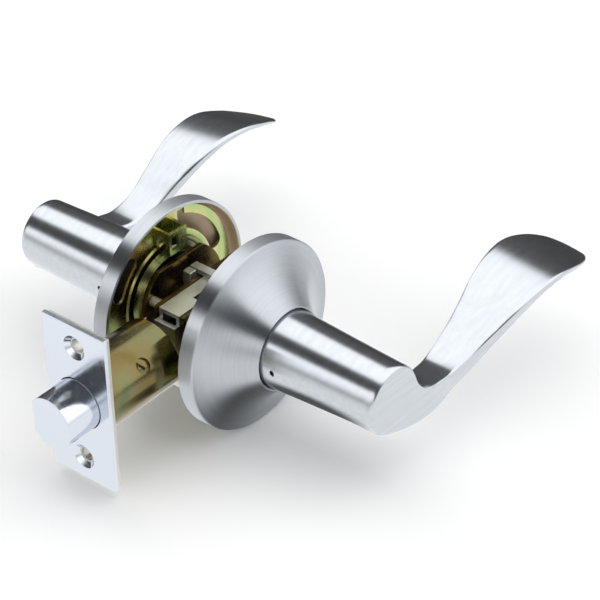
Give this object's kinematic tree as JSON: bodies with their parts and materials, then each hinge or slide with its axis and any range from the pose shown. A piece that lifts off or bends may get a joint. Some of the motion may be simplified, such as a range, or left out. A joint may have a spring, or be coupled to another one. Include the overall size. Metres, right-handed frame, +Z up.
{
  "type": "door lever handle set",
  "caption": "Passage door lever set: wave-shaped levers on round trumpet roses, cylindrical chassis and a sprung latch with a bevelled bolt.",
  "frame": {"origin": "where the lever axis crosses the latch axis, half way between the two roses as they stand at rest", "axes": "+X the way the levers point, away from the door edge; -X the latch bolt; -Y the outer side; +Y the inner side; +Z up"},
  "size_m": [0.1781, 0.1566, 0.064],
  "materials": {
    "satin_chrome": "satin, fine circular and lengthwise brushing",
    "polished_nickel": "polished, bright",
    "yellow_zinc": "yellow chromate on zinc plate, faintly iridescent",
    "dark_zinc": "dark yellow chromate on zinc plate",
    "bright_zinc": "clear zinc plate, slightly scratched",
    "spring_steel": "drawn spring wire, oiled"
  },
  "bodies": {
    "trim": {"outer_rose": "satin_chrome", "outer_mounting_plate": "yellow_zinc", "screw_posts": "bright_zinc", "outer_return_spring": "spring_steel", "outer_retaining_ring": "spring_steel", "chassis_hub_outer": "dark_zinc", "chassis_hub_inner": "dark_zinc", "chassis_side_outer": "dark_zinc", "chassis_side_inner": "dark_zinc", "chassis_back_plate": "dark_zinc", "chassis_rivets": "bright_zinc", "retractor_springs": "spring_steel", "latch_faceplate": "polished_nickel", "latch_backplate": "yellow_zinc", "latch_tube": "yellow_zinc"},
    "retractor": {"retractor": "bright_zinc", "latch_tail": "yellow_zinc", "bolt_spring": "spring_steel"},
    "bolt": {"latch_bolt": "polished_nickel"},
    "outer_lever": {"outer_lever": "satin_chrome", "outer_lever_catch": "spring_steel", "spindle": "bright_zinc", "cam_outer": "bright_zinc", "cam_inner": "bright_zinc"},
    "inner_trim": {"inner_rose": "satin_chrome", "inner_mounting_plate": "yellow_zinc", "inner_return_spring": "spring_steel", "inner_retaining_ring": "spring_steel", "trim_screws": "bright_zinc"},
    "inner_lever": {"inner_lever": "satin_chrome", "inner_lever_catch": "spring_steel"}
  },
  "joints": [
    {"name": "outer_lever_turn", "type": "hinge", "parent": "trim", "child": "outer_lever", "pos_m": [0, 0, 0], "axis": [0, 1, 0], "range_deg": [0, 50], "stiffness_Nm_per_rad": 0.35, "springref_deg": -51.57},
    {"name": "retractor_slide", "type": "slide", "parent": "trim", "child": "retractor", "axis": [1, 0, 0], "range_m": [0, 0.0127], "deforming": ["retractor_springs"]},
    {"name": "bolt_push", "type": "slide", "parent": "retractor", "child": "bolt", "axis": [1, 0, 0], "range_m": [0, 0.0127], "stiffness_N_per_m": 120, "springref_m": -0.012, "deforming": ["bolt_spring"]},
    {"name": "inner_trim_slide", "type": "slide", "parent": "trim", "child": "inner_trim", "axis": [0, 1, 0], "range_m": [0, 0.015]},
    {"name": "inner_lever_turn", "type": "hinge", "parent": "inner_trim", "child": "inner_lever", "pos_m": [0, 0.03, 0], "axis": [0, 1, 0], "range_deg": [0, 50]}
  ],
  "couplings": [
    {"joint": "retractor_slide", "follows": "outer_lever_turn", "m_per_rad": 0.014552},
    {"joint": "inner_lever_turn", "follows": "outer_lever_turn", "ratio": 1}
  ]
}
